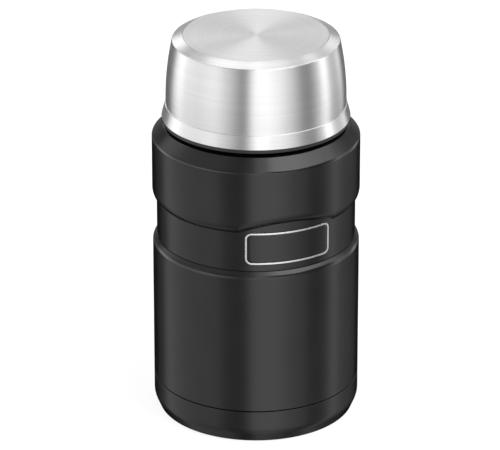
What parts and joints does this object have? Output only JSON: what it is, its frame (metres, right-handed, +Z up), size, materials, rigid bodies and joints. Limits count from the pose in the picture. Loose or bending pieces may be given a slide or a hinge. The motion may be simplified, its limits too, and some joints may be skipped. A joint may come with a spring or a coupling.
{
  "type": "insulated food jar",
  "caption": "Double-walled cylindrical food jar with a recessed grip band, a screw-in insulated stopper and a tapered steel serving bowl that screws over the neck as its lid.",
  "frame": {"origin": "centre of the foot ring, on the surface that the jar stands on", "axes": "+Z up along the jar's axis, towards the bowl; -Y towards the nameplate"},
  "size_m": [0.104, 0.104, 0.1992],
  "materials": {
    "body_paint": "satin black powder coat on steel",
    "plain_steel": "plain drawn steel",
    "solder": "solder bead",
    "getter_alloy": "pressed grey tablet",
    "liner_steel": "fine polished steel",
    "foil": "bright foil",
    "plate_black": "satin black",
    "bright_trim": "bright border strip",
    "black_plastic": "moulded black plastic",
    "foam": "rigid insulating foam",
    "silicone": "grey silicone",
    "bowl_steel": "steel brushed round the side",
    "disc_steel": "steel turned in circles"
  },
  "bodies": {
    "jar": {"outer_shell": "body_paint", "base_cup": "body_paint", "vacuum_bottom": "plain_steel", "port_seal": "solder", "getter": "getter_alloy", "inner_liner": "liner_steel", "liner_bottom": "liner_steel", "radiation_foil": "foil", "nameplate": "plate_black", "nameplate_border": "bright_trim"},
    "stopper_ring": {"stopper_gasket": "silicone"},
    "stopper": {"stopper_cap": "black_plastic", "stopper_body": "black_plastic", "stopper_base": "black_plastic", "stopper_foam": "foam"},
    "bowl_ring": {"bowl_seal": "silicone"},
    "bowl": {"bowl_outer": "bowl_steel", "bowl_disc": "disc_steel", "bowl_inner": "liner_steel", "bowl_collar": "black_plastic"}
  },
  "joints": [
    {"name": "stopper_lift", "type": "slide", "parent": "jar", "child": "stopper_ring", "axis": [0, 0, 1], "range_m": [0, 0.03]},
    {"name": "stopper_turn", "type": "hinge", "parent": "stopper_ring", "child": "stopper", "pos_m": [0, 0, 0.16], "axis": [0, 0, 1], "range_deg": [0, 900]},
    {"name": "bowl_lift", "type": "slide", "parent": "stopper", "child": "bowl_ring", "axis": [0, 0, 1], "range_m": [0, 0.042]},
    {"name": "bowl_turn", "type": "hinge", "parent": "bowl_ring", "child": "bowl", "pos_m": [0, 0, 0.16], "axis": [0, 0, 1], "range_deg": [0, 1260]}
  ],
  "couplings": [
    {"joint": "stopper_lift", "follows": "stopper_turn", "m_per_rad": 0.0019099},
    {"joint": "bowl_lift", "follows": "bowl_turn", "m_per_rad": 0.0019099}
  ]
}
